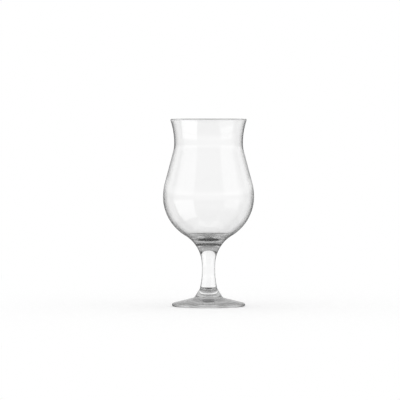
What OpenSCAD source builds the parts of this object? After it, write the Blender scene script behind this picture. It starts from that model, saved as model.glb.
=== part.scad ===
// Poco grande glass: a stemmed glass with a flared lip, a drawn-in neck and a round belly.
// It is three pieces of clear glass, each turned about the Z axis, fused at two flat seals.
// Millimetres, +Z up, with the origin in the middle of the ring that the foot rests on.

/* [Overall] */
// Height from the table to the top of the lip
glass_h = 178; // [172:1:184]

/* [Bowl] */
// Outside diameter at the lip
lip_d = 72.4; // [69:0.2:76]
// Outside diameter at the neck, the narrowest place below the lip
neck_d = 65.2; // [62:0.2:67]
// Height of the neck above the table
neck_z = 155; // [152:0.5:158]
// Radius of the hollow curve just below the neck
neck_curve = 34; // [26:1:42]
// Outside diameter of the belly
belly_d = 86.4; // [83:0.2:90]
// Height of the belly above the table
belly_z = 104.3; // [102:0.1:106]
// Radius of the round curve just above the belly
shoulder_curve = 50; // [42:1:58]
// Thickness of the wall
wall_t = 1.8; // [1.4:0.1:2.2]
// Height of the lowest point inside
inside_z = 66; // [64.5:0.5:68]
// Radius of the round inside bottom
inside_curve = 80; // [60:1:100]
// Radius where the inside bottom turns up into the wall
inside_corner = 15; // [8:0.5:22]

/* [Stem] */
// Diameter of the stem at its waist
waist_d = 12.2; // [11:0.2:14]
// Height of the waist above the table
waist_z = 34.5; // [32:0.5:37]
// Radius of the long curve just above the waist
waist_curve = 110; // [90:1:130]
// Radius of the curve that leads up into the bowl
heel_curve = 33; // [30:1:36]
// Height of the seal between the stem and the bowl
bowl_seal_z = 62; // [57:0.5:64]

/* [Foot] */
// Diameter of the foot
foot_d = 69.4; // [66:0.2:74]
// Thickness of the foot's round edge
edge_t = 3.2; // [2.6:0.1:3.8]
// Slope of the foot's upper face in degrees
top_slope = 14.5; // [11:0.5:17]
// Lean of the boss in the middle of the foot, in degrees from upright
boss_lean = 33; // [26:0.5:36]
// Radius between the boss and the upper face
boss_fillet = 3; // [2:0.5:5]
// Height of the seal between the foot and the stem
foot_seal_z = 16.5; // [15.5:0.1:18]
// Diameter of that seal
foot_seal_d = 16.8; // [15.6:0.2:18]
// Inner diameter of the flat ring that the foot rests on
ring_d = 54; // [46:1:58]
// Height of the hollow under the foot
hollow_h = 1.6; // [0.8:0.1:2.2]

/* [Hidden] */
$fn = 144;
// Degrees between neighbouring points of a curve
curve_step = 3;
// Points nearer than this are one point
same_point = 0.001;
clear_glass = [0.88, 0.93, 0.95, 0.4];

// Centres of the bowl's curves, as [distance from the axis, height]
neck_c = [neck_d / 2 + neck_curve, neck_z];
shoulder_c = [belly_d / 2 - shoulder_curve, belly_z];
belly_c = [0, belly_z];
// The straight wall between neck and shoulder touches both curves at this angle
wall_a = angle_from(shoulder_c, neck_c)
    - acos((neck_curve + shoulder_curve) / norm(neck_c - shoulder_c));
// The flare is one curve from the neck to the middle of the round lip
lip_p = [lip_d / 2 - wall_t / 2, glass_h - wall_t / 2];
flare_out = lip_p[0] - (neck_d / 2 - wall_t / 2);
flare_up = lip_p[1] - neck_z;
flare_mid = (pow(flare_up, 2) + pow(flare_out, 2)) / (2 * flare_out);
flare_c = [neck_d / 2 - wall_t / 2 + flare_mid, neck_z];
flare_a = asin(flare_up / flare_mid);
// The inside bottom is a round dish and a turn of smaller radius
dish_c = [0, inside_z + inside_curve];
corner_c = meet(dish_c, inside_curve - inside_corner, belly_c, belly_d / 2 - wall_t - inside_corner);

// Centres of the stem's curves
waist_c = [waist_d / 2 + waist_curve, waist_z];
heel_c = meet(waist_c, waist_curve - heel_curve, belly_c, belly_d / 2 + heel_curve);
bowl_seal_a = 180 - asin((bowl_seal_z - heel_c[1]) / heel_curve);
ankle_out = foot_seal_d / 2 - waist_d / 2;
ankle_down = waist_z - foot_seal_z;
ankle_curve = (pow(ankle_out, 2) + pow(ankle_down, 2)) / (2 * ankle_out);
ankle_c = [waist_d / 2 + ankle_curve, waist_z];

// Corners of the foot
edge_r = edge_t / 2;
edge_c = [foot_d / 2 - edge_r, edge_r];
top_p = edge_c + edge_r * unit(90 - top_slope);
boss_p = [foot_seal_d / 2, foot_seal_z];
crease_p = cross_point(boss_p, unit(boss_lean - 90), top_p, unit(180 - top_slope));
hollow_r = (pow(ring_d / 2, 2) + pow(hollow_h, 2)) / (2 * hollow_h);
hollow_c = [0, hollow_h - hollow_r];

// Arrow of length 1 at angle a
function unit(a) = [cos(a), sin(a)];

// Angle at which point p is seen from point c
function angle_from(c, p) = atan2(p[1] - c[1], p[0] - c[0]);

// Point at distance ra from a and rb from b, on the left when going from a to b
function meet(a, ra, b, rb) =
    let (d = norm(b - a), u = (b - a) / d, x = (ra * ra - rb * rb + d * d) / (2 * d))
    a + x * u + sqrt(ra * ra - x * x) * [-u[1], u[0]];

// Point where the line from p along u crosses the line from q along v
function cross_point(p, u, q, v) =
    p + u * ((q[0] - p[0]) * v[1] - (q[1] - p[1]) * v[0]) / (u[0] * v[1] - u[1] * v[0]);

// Points on the circle of radius r about c, from angle a to angle b
function arc(c, r, a, b) =
    let (n = max(1, ceil(abs(b - a) / curve_step)))
    [for (i = [0 : n]) c + r * unit(a + (b - a) * i / n)];

// Arc of radius r in the corner at q, between the lines to p and to s
function corner_arc(p, q, s, r) =
    let (
        u = (p - q) / norm(p - q),
        v = (s - q) / norm(s - q),
        half = acos(u * v) / 2,
        c = q + (u + v) / norm(u + v) * r / sin(half),
        run = r / tan(half)
    )
    arc(c, r, angle_from(c, q + u * run), angle_from(c, q + v * run));

// The list in reverse order
function reversed(list) = [for (i = [len(list) - 1 : -1 : 0]) list[i]];

// The closed outline without points that repeat the one before
function without_repeats(list) = [
    for (i = [0 : len(list) - 1])
        let (before = list[(i + len(list) - 1) % len(list)])
        if (norm(list[i] - before) > same_point) list[i]
];

// Wall of the bowl from lip to belly, at a depth under its outside face
function upper_wall(depth) = concat(
    arc(flare_c, flare_mid - wall_t / 2 + depth, 180 - flare_a, 180),
    arc(neck_c, neck_curve + depth, 180, 180 + wall_a),
    arc(shoulder_c, shoulder_curve - depth, wall_a, 0)
);

// Solid made by turning a closed outline about the axis
module turned(outline) {
    color(clear_glass)
    rotate_extrude()
    polygon(without_repeats(outline));
}

// Blown vessel: outside from lip to seal, then the inside from bottom to lip, then the round lip
module bowl() {
    turned(concat(
        upper_wall(0),
        arc(belly_c, belly_d / 2, 0, angle_from(belly_c, heel_c)),
        arc(heel_c, heel_curve, angle_from(heel_c, belly_c), bowl_seal_a),
        [[0, bowl_seal_z]],
        arc(dish_c, inside_curve, -90, angle_from(dish_c, corner_c)),
        arc(corner_c, inside_corner, angle_from(dish_c, corner_c), angle_from(belly_c, corner_c)),
        arc(belly_c, belly_d / 2 - wall_t, angle_from(belly_c, corner_c), 0),
        reversed(upper_wall(wall_t)),
        arc(lip_p, wall_t / 2, 180 - flare_a, -flare_a)
    ));
}

// Solid stem between the two seals, narrowest at its waist
module stem() {
    turned(concat(
        [[0, bowl_seal_z]],
        arc(heel_c, heel_curve, bowl_seal_a, angle_from(waist_c, heel_c)),
        arc(waist_c, waist_curve, angle_from(waist_c, heel_c), 180),
        arc(ankle_c, ankle_curve, 180, 180 + asin(ankle_down / ankle_curve)),
        [[0, foot_seal_z]]
    ));
}

// Pressed foot: a boss under the stem, a sloping upper face, a round edge and a hollow underside
module foot() {
    turned(concat(
        [[0, foot_seal_z], boss_p],
        corner_arc(boss_p, crease_p, top_p, boss_fillet),
        arc(edge_c, edge_r, 90 - top_slope, -90),
        arc(hollow_c, hollow_r, angle_from(hollow_c, [ring_d / 2, 0]), 90)
    ));
}

bowl();
stem();
foot();
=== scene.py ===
# %% [markdown]
# # A poco grande glass
# The object is a clear stemmed glass for long mixed drinks: a flared lip, a drawn-in neck, a round
# belly, a solid waisted stem and a broad foot. It is one colourless material, so nearly all of its
# look comes from three things: exact curves, clean optics, and a studio that the glass can show.
# The imported solids are loaded first.

# %% Load the imported model
import math

import bpy
import numpy as np
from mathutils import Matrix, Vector


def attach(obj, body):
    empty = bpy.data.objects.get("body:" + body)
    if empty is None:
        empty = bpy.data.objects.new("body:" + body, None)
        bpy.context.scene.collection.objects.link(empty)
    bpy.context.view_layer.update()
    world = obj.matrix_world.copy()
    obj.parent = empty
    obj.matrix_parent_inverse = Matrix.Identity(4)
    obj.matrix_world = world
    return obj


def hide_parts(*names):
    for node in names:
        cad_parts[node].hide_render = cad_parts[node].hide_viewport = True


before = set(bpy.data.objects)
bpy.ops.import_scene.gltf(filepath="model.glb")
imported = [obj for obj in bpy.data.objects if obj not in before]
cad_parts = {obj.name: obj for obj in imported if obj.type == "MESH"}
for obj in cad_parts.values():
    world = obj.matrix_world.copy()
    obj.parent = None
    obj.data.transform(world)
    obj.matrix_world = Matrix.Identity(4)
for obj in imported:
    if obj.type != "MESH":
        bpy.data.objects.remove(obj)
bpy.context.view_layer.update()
scene = bpy.context.scene
scene.view_settings.view_transform = "Standard"

# %% [markdown]
# ## Drawing with arcs
# A glass like this is round, so one half-outline describes it. On paper a glassmaker's outline is a
# chain of arcs that run into each other without a kink. It could be traced with a spline, but then
# no radius would be known. Arcs keep every curve a number, and each one is sampled finely here,
# because light bent by glass shows any flat spot.

# %% Points on arcs and lines
ARC_STEP_MM, ARC_STEP_DEG, LEAST_STEPS = 1.0, 6.0, 2
LINE_STEP_MM = 2.0
SAME_POINT_MM = 1e-4


def unit(degrees):
    """Arrow of length 1: cosine and sine of the angle."""
    a = np.radians(degrees)
    return np.stack([np.cos(a), np.sin(a)], axis=-1)


def seen_from(centre, point):
    """Angle in degrees at which a point is seen from a centre: arctangent of height over width."""
    return math.degrees(math.atan2(point[1] - centre[1], point[0] - centre[0]))


def arc(centre, radius, start, end):
    """Centre plus radius times the unit arrow, for angles spread evenly from start to end."""
    turn = abs(end - start)
    run = math.radians(turn) * radius
    count = math.ceil(max(run / ARC_STEP_MM, turn / ARC_STEP_DEG, LEAST_STEPS))
    return np.asarray(centre) + radius * unit(np.linspace(start, end, count + 1))


def line(start, end):
    """Points start + t (end - start), for t spread evenly from 0 to 1."""
    start, end = np.asarray(start, float), np.asarray(end, float)
    count = math.ceil(max(np.linalg.norm(end - start) / LINE_STEP_MM, 1))
    return start + np.linspace(0, 1, count + 1)[:, None] * (end - start)


def outline(*parts):
    """Parts joined end to end, without the points that repeat the one before."""
    points = np.vstack(parts)
    moved = np.linalg.norm(np.diff(points, axis=0), axis=1) > SAME_POINT_MM
    return points[np.r_[True, moved]]


print("a quarter circle of radius 20 mm has", len(arc((0, 0), 20, 0, 90)), "points")

# %% [markdown]
# ## Joining arcs
# Two arcs run into each other without a kink when their centres lie in line with the place where they
# touch. So a joining arc's centre is found the way one does it with compasses: it lies where two
# circles cross. A corner between two lines is rounded by an arc that touches both.

# %% Centres and corners
def meet(a, a_radius, b, b_radius):
    """Where circles about a and b cross, on the left of the way from a to b."""
    a, b = np.asarray(a, float), np.asarray(b, float)
    gap = np.linalg.norm(b - a)
    along = (b - a) / gap
    x = (a_radius**2 - b_radius**2 + gap**2) / (2 * gap)
    return a + x * along + math.sqrt(a_radius**2 - x**2) * np.array([-along[1], along[0]])


def crossing(p, u, q, v):
    """Where the line from p along u meets the line from q along v."""
    return p + u * ((q[0] - p[0]) * v[1] - (q[1] - p[1]) * v[0]) / (u[0] * v[1] - u[1] * v[0])


def rounded_corner(p, corner, q, radius):
    """Arc that touches the two lines from the corner to p and to q."""
    u = (p - corner) / np.linalg.norm(p - corner)
    v = (q - corner) / np.linalg.norm(q - corner)
    half = math.acos(u @ v) / 2
    centre = corner + (u + v) / np.linalg.norm(u + v) * radius / math.sin(half)
    run = radius / math.tan(half)
    return arc(centre, radius, seen_from(centre, corner + u * run), seen_from(centre, corner + v * run))


print("circles of radius 5 about (0, 0) and (6, 0) cross at", meet((0, 0), 5, (6, 0), 5))

# %% [markdown]
# ## Turning an outline into a closed surface
# A Screw modifier or Blender's Spin could turn the outline, but both leave a seam that has to be
# merged. Here the surface is worked out at once: every outline point times every angle. The two ends
# of an outline lie on the axis, where one shared vertex closes the surface like the pole of a globe.
# The faces come in a known order, band by band and then the fans at the two poles, so a part of the
# surface can be given a material slot of its own by counting.

# %% Turned pieces
AROUND = 192
SHARP_DEG = 24
MM = 0.001


def turned(name, half):
    """Surface (r cos t, r sin t, z) for each outline point (r, z) and each angle t.

    The outline runs from the axis at the bottom, out and up, back to the axis, so the faces
    made of (ring, angle) neighbours in that order point out of the glass.
    """
    t = np.linspace(0, 2 * np.pi, AROUND, endpoint=False)
    rings = half[1:-1]
    r, z = rings[:, :1], rings[:, 1:]
    grid = np.stack([r * np.cos(t), r * np.sin(t), z + 0 * t], axis=-1).reshape(-1, 3)
    poles = np.array([[0, 0, half[0, 1]], [0, 0, half[-1, 1]]])
    index = np.arange(len(grid)).reshape(len(rings), AROUND)
    beside = np.roll(index, -1, axis=1)
    bands = np.stack([index[:-1], beside[:-1], beside[1:], index[1:]], axis=-1).reshape(-1, 4)
    low, top = len(grid), len(grid) + 1
    low_fan = np.stack([beside[0], index[0], np.full(AROUND, low)], axis=-1)
    top_fan = np.stack([index[-1], beside[-1], np.full(AROUND, top)], axis=-1)
    mesh = bpy.data.meshes.new(name)
    points = np.vstack([grid, poles]) * MM
    mesh.from_pydata(points.tolist(), [], bands.tolist() + low_fan.tolist() + top_fan.tolist())
    mesh.polygons.foreach_set("use_smooth", np.ones(len(mesh.polygons), bool))
    mesh.set_sharp_from_angle(angle=math.radians(SHARP_DEG))
    piece = bpy.data.objects.new(name, mesh)
    scene.collection.objects.link(piece)
    print(f"{name}: {len(half)} outline points, {len(mesh.polygons)} faces")
    return piece


def mark_slots(piece, bottom=0, top=0, top_from=None):
    """Material slot of the fan at the lower pole and of the fan at the upper pole, 0 elsewhere.

    With top_from, the bands from that outline point to the upper pole take its slot too.
    """
    slots = np.zeros(len(piece.data.polygons), np.int32)
    slots[-2 * AROUND:-AROUND] = bottom
    slots[-AROUND:] = top
    if top_from is not None:
        slots[(top_from - 1) * AROUND:-2 * AROUND] = top
    piece.data.polygons.foreach_set("material_index", slots)


# %% [markdown]
# ## The bowl
# The bowl is blown: an even wall that thickens into a heavy bottom. Outside, a flare, a hollow neck,
# a straight wall, a round shoulder and a belly that is part of a sphere follow each other. Inside, the
# same arcs lie one wall further in, down to a round bottom that leaves the thick glass below it. The
# lip is a half circle, as a flame leaves it. A Solidify modifier would give the wall one thickness
# everywhere and square lips, so both faces are drawn.

# %% Centres of the bowl's and the stem's arcs, in millimetres from the axis and from the table
LIP_TOP = 178.0
WALL = 1.8
LIP_R = 72.4 / 2
NECK_R, NECK_Z, NECK_CURVE = 65.2 / 2, 155.0, 34.0
BELLY_R, BELLY_Z, SHOULDER_CURVE = 86.4 / 2, 104.3, 50.0
INSIDE_Z, INSIDE_CURVE, INSIDE_TURN = 66.0, 80.0, 15.0
WAIST_R, WAIST_Z, WAIST_CURVE, HEEL_CURVE = 12.2 / 2, 34.5, 110.0, 33.0
BOWL_SEAL_Z = 62.0

neck_c = np.array([NECK_R + NECK_CURVE, NECK_Z])
shoulder_c = np.array([BELLY_R - SHOULDER_CURVE, BELLY_Z])
belly_c = np.array([0, BELLY_Z])
lean = seen_from(shoulder_c, neck_c) - math.degrees(
    math.acos((NECK_CURVE + SHOULDER_CURVE) / np.linalg.norm(neck_c - shoulder_c)))
lip_c = np.array([LIP_R - WALL / 2, LIP_TOP - WALL / 2])
flare_out = lip_c[0] - (NECK_R - WALL / 2)
flare_up = lip_c[1] - NECK_Z
flare_curve = (flare_up**2 + flare_out**2) / (2 * flare_out)
flare_c = np.array([NECK_R - WALL / 2 + flare_curve, NECK_Z])
flare_turn = math.degrees(math.asin(flare_up / flare_curve))
dish_c = np.array([0, INSIDE_Z + INSIDE_CURVE])
turn_c = meet(dish_c, INSIDE_CURVE - INSIDE_TURN, belly_c, BELLY_R - WALL - INSIDE_TURN)
waist_c = np.array([WAIST_R + WAIST_CURVE, WAIST_Z])
heel_c = meet(waist_c, WAIST_CURVE - HEEL_CURVE, belly_c, BELLY_R + HEEL_CURVE)
seal_turn = 180 - math.degrees(math.asin((BOWL_SEAL_Z - heel_c[1]) / HEEL_CURVE))
print("the wall leans", round(lean, 1), "degrees, the flare has a radius of", round(flare_curve, 1))


# %% Bowl
def upper_wall(depth):
    """Belly to lip at a depth under the outside face: shoulder arc, straight wall, neck arc, flare arc."""
    shoulder = arc(shoulder_c, SHOULDER_CURVE - depth, 0, lean)
    neck = arc(neck_c, NECK_CURVE + depth, 180 + lean, 180)
    flare = arc(flare_c, flare_curve - WALL / 2 + depth, 180, 180 - flare_turn)
    return np.vstack([shoulder, line(shoulder[-1], neck[0]), neck, flare])


bowl_outline = outline(
    [[0, BOWL_SEAL_Z]],
    arc(heel_c, HEEL_CURVE, seal_turn, seen_from(heel_c, belly_c)),
    arc(belly_c, BELLY_R, seen_from(belly_c, heel_c), 0),
    upper_wall(0),
    arc(lip_c, WALL / 2, -flare_turn, 180 - flare_turn),
    upper_wall(WALL)[::-1],
    arc(belly_c, BELLY_R - WALL, 0, seen_from(belly_c, turn_c)),
    arc(turn_c, INSIDE_TURN, seen_from(belly_c, turn_c), seen_from(dish_c, turn_c)),
    arc(dish_c, INSIDE_CURVE, seen_from(dish_c, turn_c), -90),
)
bowl = turned("bowl_glass", bowl_outline)
mark_slots(bowl, bottom=1, top=2, top_from=int(np.argmax(bowl_outline[:, 1])))

# %% [markdown]
# ## The stem
# The stem is a solid rod of glass, drawn thinner at its waist, that runs out into the bowl above and
# the foot below. It bends light strongly, so it shows the room behind it upside down as one bright
# window. A cylinder with moved rings would do from afar, but its kinks would show in that window. The
# outline is three arcs instead, and the uppermost goes on in the bowl across the seal.

# %% Stem
FOOT_SEAL_Z, FOOT_SEAL_R = 16.5, 16.8 / 2
ankle_out = FOOT_SEAL_R - WAIST_R
ankle_down = WAIST_Z - FOOT_SEAL_Z
ankle_curve = (ankle_out**2 + ankle_down**2) / (2 * ankle_out)
ankle_c = np.array([WAIST_R + ankle_curve, WAIST_Z])
ankle_turn = math.degrees(math.asin(ankle_down / ankle_curve))

stem_outline = outline(
    [[0, FOOT_SEAL_Z]],
    arc(ankle_c, ankle_curve, 180 + ankle_turn, 180),
    arc(waist_c, WAIST_CURVE, 180, seen_from(waist_c, heel_c)),
    arc(heel_c, HEEL_CURVE, seen_from(waist_c, heel_c), seal_turn),
    [[0, BOWL_SEAL_Z]],
)
stem = turned("stem_glass", stem_outline)
mark_slots(stem, bottom=1, top=2)

# %% [markdown]
# ## The foot
# The foot is pressed in a mould: a steep boss under the stem, a small fillet, a sloping upper face, a round
# edge, and a flat ring to stand on with a shallow hollow inside it. Seen from the side it is mostly the
# table below that shows through, which is why it looks greyer than the bowl, and painted shade at its boss,
# its edge and its outline makes it greyer still. A Bevel modifier could round the edge and the fillet, but
# here they are arcs of the outline too, so that their radii are as exact as the rest.

# %% Foot
FOOT_R, EDGE, TOP_SLOPE = 69.4 / 2, 3.2, 14.5
BOSS_LEAN, BOSS_FILLET = 33.0, 3.0
RING_R, HOLLOW = 54 / 2, 1.6
edge_c = np.array([FOOT_R - EDGE / 2, EDGE / 2])
slope_low = edge_c + EDGE / 2 * unit(90 - TOP_SLOPE)
boss_top = np.array([FOOT_SEAL_R, FOOT_SEAL_Z])
crease = crossing(boss_top, unit(BOSS_LEAN - 90), slope_low, unit(180 - TOP_SLOPE))
hollow_curve = (RING_R**2 + HOLLOW**2) / (2 * HOLLOW)
hollow_c = np.array([0, HOLLOW - hollow_curve])
fillet = rounded_corner(slope_low, crease, boss_top, BOSS_FILLET)

foot_outline = outline(
    arc(hollow_c, hollow_curve, 90, seen_from(hollow_c, [RING_R, 0])),
    line([RING_R, 0], [edge_c[0], 0]),
    arc(edge_c, EDGE / 2, -90, 90 - TOP_SLOPE),
    line(slope_low, fillet[0]),
    fillet,
    line(fillet[-1], boss_top),
    [[0, FOOT_SEAL_Z]],
)
foot = turned("foot_glass", foot_outline)
mark_slots(foot, top=1)

# %% [markdown]
# ## Writing node trees
# Materials and the studio are node trees. Built node by node they take many lines, so a few helpers
# add a node, fill its inputs and give back the socket that the next node needs.

# %% Helpers for node trees
def wire(tree, kind, settings=None, **inputs):
    """Adds a node, sets its properties and fills its inputs with values or sockets.

    An input goes by its name, with _ for a space, or by its number after a first _.
    """
    node = tree.nodes.new(kind)
    for key, value in (settings or {}).items():
        setattr(node, key, value)
    for key, value in inputs.items():
        socket = node.inputs[int(key[1:])] if key[0] == "_" else node.inputs[key.replace("_", " ")]
        if isinstance(value, bpy.types.NodeSocket):
            tree.links.new(value, socket)
        else:
            socket.default_value = value
    return node


def math_node(tree, operation, a, b=0.0):
    """One Math node, a operation b."""
    return wire(tree, "ShaderNodeMath", {"operation": operation}, _0=a, _1=b).outputs[0]


def ramp(tree, value, low, high, first=0.0, last=1.0):
    """Smooth step of value from first at low to last at high."""
    node = wire(tree, "ShaderNodeMapRange", {"interpolation_type": "SMOOTHSTEP"}, Value=value,
                From_Min=low, From_Max=high, To_Min=first, To_Max=last)
    return node.outputs["Result"]


def grey(level):
    """Colour with the same red, green and blue."""
    return (level, level, level, 1.0)


def straight_lines(tree, share, stops):
    """Value by a share from 0 to 1: straight lines between the stops (share, value)."""
    node = wire(tree, "ShaderNodeValToRGB", Fac=share)
    marks_along = node.color_ramp.elements
    while len(marks_along) < len(stops):
        marks_along.new(1.0)
    for mark, (position, level) in zip(marks_along, stops):
        mark.position = position
        mark.color = grey(level)
    return node.outputs["Color"]


def from_axis(tree):
    """Distance from the glass's axis: length of (x, y, 0)."""
    place = tree.nodes.new("ShaderNodeTexCoord").outputs["Object"]
    level = wire(tree, "ShaderNodeVectorMath", {"operation": "MULTIPLY"}, _0=place, _1=(1.0, 1.0, 0.0))
    return wire(tree, "ShaderNodeVectorMath", {"operation": "LENGTH"}, _0=level.outputs[0]).outputs["Value"]


# %% [markdown]
# ## Marks that glass carries
# New glass isn't optically perfect. Blown and pressed surfaces keep a slight ripple from the tool and
# the flame, one to four centimetres long and about a hundredth of a millimetre deep. And a foot that
# has stood on tables is worn matt where it rests. Each material could have its own nodes for this. One
# node group with inputs does it once, and each piece of the glass uses it with its own amounts.

# %% Node group for ripple and wear
WEAR_HEIGHT = 0.0004
SCUFFS_PER_METRE = 900.0
PATCH_BEGINS, PATCH_FULL, LEAST_WEAR = 0.38, 0.62, 0.35

marks = bpy.data.node_groups.new("glass_marks", "ShaderNodeTree")
for name, value in (("Ripple Scale", 30.0), ("Wear Height", WEAR_HEIGHT), ("Wear", 0.0)):
    socket = marks.interface.new_socket(name, in_out="INPUT", socket_type="NodeSocketFloat")
    socket.default_value = value
for name in ("Ripple", "Worn"):
    marks.interface.new_socket(name, in_out="OUTPUT", socket_type="NodeSocketFloat")
given = marks.nodes.new("NodeGroupInput")
result = marks.nodes.new("NodeGroupOutput")
place = marks.nodes.new("ShaderNodeTexCoord").outputs["Object"]
ripple = wire(marks, "ShaderNodeTexNoise", Vector=place, Scale=given.outputs["Ripple Scale"],
              Detail=1.0, Roughness=0.4)
height = wire(marks, "ShaderNodeSeparateXYZ", Vector=place).outputs["Z"]
scuffs = wire(marks, "ShaderNodeTexNoise", Vector=place, Scale=SCUFFS_PER_METRE,
              Detail=3.0, Roughness=0.65)
low_down = ramp(marks, height, given.outputs["Wear Height"], 0.0)
patchy = ramp(marks, scuffs.outputs[0], PATCH_BEGINS, PATCH_FULL, LEAST_WEAR, 1.0)
worn = math_node(marks, "MULTIPLY", math_node(marks, "MULTIPLY", low_down, patchy), given.outputs["Wear"])
marks.links.new(ripple.outputs[0], result.inputs["Ripple"])
marks.links.new(worn, result.inputs["Worn"])
print("node group", marks.name, "with", len(marks.nodes), "nodes")

# %% [markdown]
# ## Clear glass
# The Principled shader with full Transmission bends and reflects light as glass does. With one colour all
# over, thick and edge-on places would look too clean, so painted shade goes into its colour over the
# surface. Looked at edge-on, light does run a long way inside the wall, but the deep grey outline is
# painted shade. Layer Weight's Facing value says how edge-on a face is, so the painted outline goes there.
# The bowl's thick bottom, the head of the stem and the foot's boss and edge get painted shade too, as grey
# rings by height. The bowl's inside face has a paler material of its own, because the wall would otherwise
# be shaded twice.

# %% Glass with painted shade by angle and by height
CLEAR = 0.985
IOR = 1.52


def by_height(tree, stops):
    """Value by height above the table: straight lines between the stops (millimetres, value)."""
    place = tree.nodes.new("ShaderNodeTexCoord").outputs["Object"]
    height = wire(tree, "ShaderNodeSeparateXYZ", Vector=place).outputs["Z"]
    share = math_node(tree, "DIVIDE", height, LIP_TOP * MM)
    return straight_lines(tree, share, [(mm / LIP_TOP, level) for mm, level in stops])


def clear_glass(name, ripple, edge, edge_shade, body=None, edge_share=None, wear=0.0):
    """Glass with a body colour, that goes to the painted edge shade where Facing passes through the edge
    range.

    ripple holds waves per metre and a depth in metres. body and edge_share are stops by height, and the
    body stops paint shade as grey rings.
    """
    material = bpy.data.materials.new(name)
    material.use_nodes = True
    tree = material.node_tree
    shader = tree.nodes["Principled BSDF"]
    shader.inputs["Transmission Weight"].default_value = 1.0
    shader.inputs["IOR"].default_value = IOR
    shader.inputs["Roughness"].default_value = 0.0
    facing = wire(tree, "ShaderNodeLayerWeight", Blend=0.5).outputs["Facing"]
    depth = ramp(tree, facing, *edge)
    if edge_share:
        depth = math_node(tree, "MULTIPLY", depth, by_height(tree, edge_share))
    # Colour of the glass: its own clear body, grey rings of painted shade by height, and the painted grey
    # outline where it is seen edge-on.
    tint_and_shade = wire(tree, "ShaderNodeMix", {"data_type": "RGBA"}, _0=depth,
                _6=by_height(tree, body) if body else grey(CLEAR), _7=grey(edge_shade))
    tree.links.new(tint_and_shade.outputs[2], shader.inputs["Base Color"])
    waves, wave_depth = ripple
    own = wire(tree, "ShaderNodeGroup", {"node_tree": marks}, Ripple_Scale=waves, Wear=wear)
    bump = wire(tree, "ShaderNodeBump", Strength=1.0, Distance=wave_depth, Height=own.outputs["Ripple"])
    tree.links.new(bump.outputs["Normal"], shader.inputs["Normal"])
    if wear:
        tree.links.new(own.outputs["Worn"], shader.inputs["Roughness"])
    print(f"{name}: {len(tree.nodes)} nodes")
    return material


# %% Blown, drawn and pressed glass
BLOWN_RIPPLE, DRAWN_RIPPLE, PRESSED_RIPPLE = (28.0, 0.00003), (60.0, 0.00001), (70.0, 0.00002)
# Share of the painted outline by height on the bowl: less at the neck, none at the lip.
BOWL_EDGE_SHADE_SHARE = ((98, 1.0), (107, 0.75), (117, 0.75), (124, 1.0), (176, 1.0), (177.3, 0.0))
# Painted shade by height: grey rings at the bowl's thick bottom, at the head of the stem, and at the foot's
# edge and boss.
THICK_BOTTOM_SHADE = ((62.3, 0.4), (63.6, 0.4), (64.4, 0.6), (66.5, 0.6), (68.5, CLEAR))
STEM_HEAD_SHADE = ((56, CLEAR), (57, 0.6))
EDGE_AND_BOSS_SHADE = ((1.6, 0.95), (2.2, 0.5), (3.8, 0.5), (4.8, 0.92), (7.6, 0.92), (8.6, 0.4), (12.0, 0.4),
                 (12.6, 0.9))

# The last number of each finish is the grey of its painted outline. It is palest on the bowl's inside face.
inside_glass = clear_glass("blown_glass_inside", BLOWN_RIPPLE, edge=(0.25, 0.5), edge_shade=0.85)
bowl_glass = clear_glass("blown_glass", BLOWN_RIPPLE, edge=(0.5, 0.8), edge_shade=0.1,
                         body=THICK_BOTTOM_SHADE, edge_share=BOWL_EDGE_SHADE_SHARE)
stem_glass = clear_glass("drawn_glass", DRAWN_RIPPLE, edge=(0.5, 0.8), edge_shade=0.1, body=STEM_HEAD_SHADE)
foot_glass = clear_glass("pressed_glass", PRESSED_RIPPLE, edge=(0.4, 0.85), edge_shade=0.06,
                         body=EDGE_AND_BOSS_SHADE, wear=0.35)

# %% [markdown]
# ## The two seals
# Where two pieces are fused, the real glass has flowed together and there is no surface any more. A glass
# shader on the faces in a seal would mirror and bend light there, so they get a Transparent shader. In the
# middle of a seal it is a dark film, which is painted shade. It is seen directly as a thin dark line, and
# the one under the bowl is also mirrored in the bowl's bottom as a dark lens. Both pieces have a face
# there, and a ray may meet only one of the two, so both carry the film.

# %% Films in the seals, with painted shade in their middle
def seal_film(name, film_shade, within, beyond):
    """Share of light let through: the painted shade's share up to one distance from the axis, all of it
    past another.
    """
    material = bpy.data.materials.new(name)
    material.use_nodes = True
    tree = material.node_tree
    tree.nodes.clear()
    share = ramp(tree, from_axis(tree), within * MM, beyond * MM, film_shade, 1.0)
    film = wire(tree, "ShaderNodeBsdfTransparent", Color=share)
    wire(tree, "ShaderNodeOutputMaterial", Surface=film.outputs[0])
    return material


# Painted shade: a dark film in the middle of each seal, seen as a thin dark line and as a dark lens in the
# bowl's bottom.
bowl_seal = seal_film("bowl_seal", film_shade=0.3, within=7.0, beyond=10.5)
foot_seal = seal_film("foot_seal", film_shade=0.35, within=3.2, beyond=5.4)
for piece, node, finishes in (
    (bowl, "bowl", (bowl_glass, bowl_seal, inside_glass)),
    (stem, "stem", (stem_glass, foot_seal, bowl_seal)),
    (foot, "foot", (foot_glass, foot_seal)),
):
    for finish in finishes:
        piece.data.materials.append(finish)
    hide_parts(node)
    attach(piece, "root")
    print(piece.name, "stands for", node, "in", [finish.name for finish in finishes])

# %% [markdown]
# ## Floor
# The glass stands on a plain white sheet. A white plane alone would be darker than the wall and show where
# it ends. So far from the glass it is simply white and runs into the wall without a line, and near the
# glass it is a matt white surface that takes the soft shadow. Seen through the foot, the sheet right under
# it is unlit and gives the foot its grey, apart from a small spot in the middle that glows: a painted pool
# of light for the light that the stem brings down. Mirrored light, and bent light that lands beside the
# foot, passes through the sheet, so that the studio decides what it shows.

# %% Floor
SHEET_R, SHEET_CORNERS = 3.0, 128
SHEET_DROP = 0.00005

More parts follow.
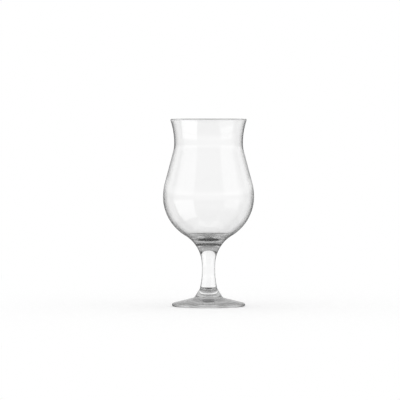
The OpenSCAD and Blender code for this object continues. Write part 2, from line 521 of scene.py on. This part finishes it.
t = np.linspace(0, 2 * np.pi, SHEET_CORNERS, endpoint=False)
sheet_points = np.stack([SHEET_R * np.cos(t), SHEET_R * np.sin(t), 0 * t - SHEET_DROP], axis=-1)
sheet_mesh = bpy.data.meshes.new("floor")
sheet_mesh.from_pydata(sheet_points.tolist(), [], [list(range(SHEET_CORNERS))])
floor = bpy.data.objects.new("floor", sheet_mesh)
scene.collection.objects.link(floor)
print("sheet", 2 * SHEET_R, "m across")

# %% White sheet
SHEET_WHITE = 0.8
ROOM_LIGHT = 0.9
# Painted pool of light: a small glowing spot under the middle of the foot, seen only through the glass.
PAINTED_SPOT_LIGHT = 0.25
SPOT_FADES = 0.007, 0.013
FOOT_ENDS = 0.036, 0.040
WALL_BEGINS = 0.25, 0.6

paper = bpy.data.materials.new("white_sheet")
paper.use_nodes = True
sheet = paper.node_tree
sheet.nodes.clear()
path = sheet.nodes.new("ShaderNodeLightPath")
away = from_axis(sheet)
matt = wire(sheet, "ShaderNodeBsdfDiffuse", Color=grey(SHEET_WHITE))
# Camera rays get an even white lift. Other rays get only the painted spot of light.
lift_and_painted_spot = wire(sheet, "ShaderNodeMix", {"data_type": "FLOAT"}, _0=path.outputs["Is Camera Ray"],
            _2=ramp(sheet, away, *SPOT_FADES, PAINTED_SPOT_LIGHT, 0.0), _3=1.0 - SHEET_WHITE * ROOM_LIGHT)
glow = wire(sheet, "ShaderNodeEmission", Strength=lift_and_painted_spot.outputs[0])
near = wire(sheet, "ShaderNodeAddShader", _0=matt.outputs[0], _1=glow.outputs[0])
far = wire(sheet, "ShaderNodeEmission", Strength=1.0)
white = wire(sheet, "ShaderNodeMixShader", _0=ramp(sheet, away, *WALL_BEGINS), _1=near.outputs[0],
             _2=far.outputs[0])
glossy, bent = path.outputs["Is Glossy Ray"], path.outputs["Is Transmission Ray"]
only_mirrored = math_node(sheet, "MULTIPLY", glossy, math_node(sheet, "SUBTRACT", 1.0, bent))
beside_foot = math_node(sheet, "MULTIPLY", bent, ramp(sheet, away, *FOOT_ENDS))
unseen = math_node(sheet, "MAXIMUM", only_mirrored, beside_foot)
clear = sheet.nodes.new("ShaderNodeBsdfTransparent")
seen = wire(sheet, "ShaderNodeMixShader", _0=unseen, _1=white.outputs[0], _2=clear.outputs[0])
wire(sheet, "ShaderNodeOutputMaterial", Surface=seen.outputs[0])
sheet_mesh.materials.append(paper)
print(f"{paper.name}: {len(sheet.nodes)} nodes")

# %% [markdown]
# ## Studio
# A glass has no colour of its own, so the room is what one sees in it. Lamps and cards could stand
# around it, but they would have to be kept out of the picture. A world that is painted by compass angle
# and height holds the same room in one place. Bearing 0 is behind the glass, and 180 is the camera's
# side.

# %% World by bearing and height
world = bpy.data.worlds.new("studio")
scene.world = world
world.use_nodes = True
studio = world.node_tree
studio.nodes.clear()
path = studio.nodes.new("ShaderNodeLightPath")
way = studio.nodes.new("ShaderNodeTexCoord").outputs["Generated"]
split = wire(studio, "ShaderNodeSeparateXYZ", Vector=way)
turn = math_node(studio, "ARCTAN2", split.outputs["X"], split.outputs["Y"])
bearing = math_node(studio, "DEGREES", turn)
compass = math_node(studio, "ABSOLUTE", bearing)
rise = math_node(studio, "DEGREES", math_node(studio, "ARCSINE", split.outputs["Z"]))


def both(a, b):
    """Product of two masks."""
    return math_node(studio, "MULTIPLY", a, b)


def blend(under, over, mask):
    """under (1 - mask) + over mask."""
    return wire(studio, "ShaderNodeMix", {"data_type": "FLOAT"}, _0=mask, _2=under, _3=over).outputs[0]


def between(value, low, high, soft):
    """Smooth step up at low times smooth step down at high."""
    return both(ramp(studio, value, low - soft, low + soft),
                ramp(studio, value, high - soft, high + soft, 1.0, 0.0))


def by_rise(*stops):
    """Value by degrees above the horizon: straight lines between the stops (degrees, value)."""
    share = math_node(studio, "DIVIDE", math_node(studio, "ADD", rise, 90.0), 180.0)
    return straight_lines(studio, share, [((degrees + 90) / 180, level) for degrees, level in stops])


# %% [markdown]
# ## What the glass mirrors
# Mirrored light shows a room with a dark line at the horizon, dimmer on the camera's side, and a tall
# soft window on each side. The windows aren't alike, and each goes on below the horizon, as in a
# polished table top.

# %% Mirrored room
WINDOW_SOFT = 3
WINDOWS = (
    # left and right bearing, bottom and top in degrees, strength
    (-141, -83, 4, 60, 1.3),
    (-141, -83, -48, -7, 2.0),
    (93, 138, 4, 60, 1.3),
    (93, 138, -24, -7, 1.2),
)
CAMERA_SIDE = 136, 144

sides = by_rise((-8, 0.2), (-4, 0.06), (1, 0.06), (5, 0.9), (60, 0.9))
camera_side = by_rise((-8, 0.22), (-4, 0.04), (1, 0.04), (4, 0.5), (9, 0.45), (16, 0.22))
mirrored = blend(sides, camera_side, ramp(studio, compass, *CAMERA_SIDE))
for left, right, bottom, top, strength in WINDOWS:
    window = both(between(bearing, left, right, WINDOW_SOFT), between(rise, bottom, top, WINDOW_SOFT))
    mirrored = blend(mirrored, strength, window)
print(len(WINDOWS), "panes of window")

# %% [markdown]
# ## What the glass bends
# Bent light shows a white wall with a grey ceiling above and a dark card low down. The ceiling comes
# lower and the card starts deeper at the sides than behind the glass. The card draws the dark line over
# the bowl's thick bottom. Neither is seen beside the glass, where the picture stays white.

# %% Bent room
CEILING_GREY, CEILING_SOFT = 0.42, 4
CEILING_BEHIND, CEILING_ASIDE, CEILING_TURNS = 42, 10, (45, 75)
CARD_GREY_BEHIND, CARD_GREY_ASIDE, CARD_SOFT = 0.3, 0.5, 2
CARD_BEHIND, CARD_ASIDE, CARD_TURNS = 23, 33, (30, 50)
CARD_ENDS = -64, -60

ceiling = ramp(studio, compass, *CEILING_TURNS, CEILING_BEHIND, CEILING_ASIDE)
over_ceiling = math_node(studio, "SUBTRACT", rise, ceiling)
through = ramp(studio, over_ceiling, -CEILING_SOFT, CEILING_SOFT, 1.0, CEILING_GREY)
card_depth = ramp(studio, compass, *CARD_TURNS, CARD_BEHIND, CARD_ASIDE)
over_card = math_node(studio, "ADD", rise, card_depth)
card_grey = ramp(studio, compass, *CARD_TURNS, CARD_GREY_BEHIND, CARD_GREY_ASIDE)
card = both(ramp(studio, over_card, -CARD_SOFT, CARD_SOFT, 1.0, 0.0), ramp(studio, rise, *CARD_ENDS))
through = blend(through, card_grey, card)

# %% [markdown]
# ## Which light sees which room
# Light Path tells how a ray came to the world. Matt surfaces get one even light. A ray that leaves the
# sheet and then goes through the glass counts as bent, but its Diffuse Depth still says that it met a
# matt surface, so it gets the even light too. The camera itself sees plain white.

# %% Put the studio together
light = blend(ROOM_LIGHT, mirrored, path.outputs["Is Glossy Ray"])
light = blend(light, through, path.outputs["Is Transmission Ray"])
scattered = math_node(studio, "MINIMUM", path.outputs["Diffuse Depth"], 1.0)
light = blend(light, ROOM_LIGHT, scattered)
light = blend(light, 1.0, path.outputs["Is Camera Ray"])
backdrop = wire(studio, "ShaderNodeBackground", Color=grey(1.0), Strength=light)
wire(studio, "ShaderNodeOutputWorld", Surface=backdrop.outputs[0])
print("studio of", len(studio.nodes), "nodes")

# %% [markdown]
# ## Camera
# The photograph is taken from far off with a long lens, a little above the lip: the foot shows as a
# thin ellipse and the lip as almost a line. Glass guides light: in the wall or the stem a ray can go to
# and fro hundreds of times before it leaves. A ray that is cut off on the way turns black, so the
# limits for bends and reflections are raised.

# %% Camera and light paths
PHOTO_SIDE = 400
AXIS_X, TABLE_Y = 208.54, 306.35
PIXEL = 0.0009496
CAMERA_AWAY, CAMERA_UP = 4.0, 0.226
SENSOR = 36.0
SIGHT = 50.0
GLASS_BOUNCES = 256
FILMS_CROSSED = 32

middle = PHOTO_SIDE / 2
aim = Vector(((middle - AXIS_X) * PIXEL, 0.0, (TABLE_Y - middle) * PIXEL))
camera_data = bpy.data.cameras.new("camera")
camera = bpy.data.objects.new("camera", camera_data)
scene.collection.objects.link(camera)
camera.location = (aim.x, -CAMERA_AWAY, CAMERA_UP)
look = aim - camera.location
camera.rotation_euler = look.to_track_quat("-Z", "Y").to_euler()
camera_data.sensor_width = SENSOR
camera_data.lens = SENSOR * look.length / (PHOTO_SIDE * PIXEL)
camera_data.clip_end = SIGHT
scene.camera = camera
scene.cycles.max_bounces = GLASS_BOUNCES
scene.cycles.transmission_bounces = GLASS_BOUNCES
scene.cycles.glossy_bounces = GLASS_BOUNCES
scene.cycles.transparent_max_bounces = FILMS_CROSSED
print("lens", round(camera_data.lens, 1), "mm")
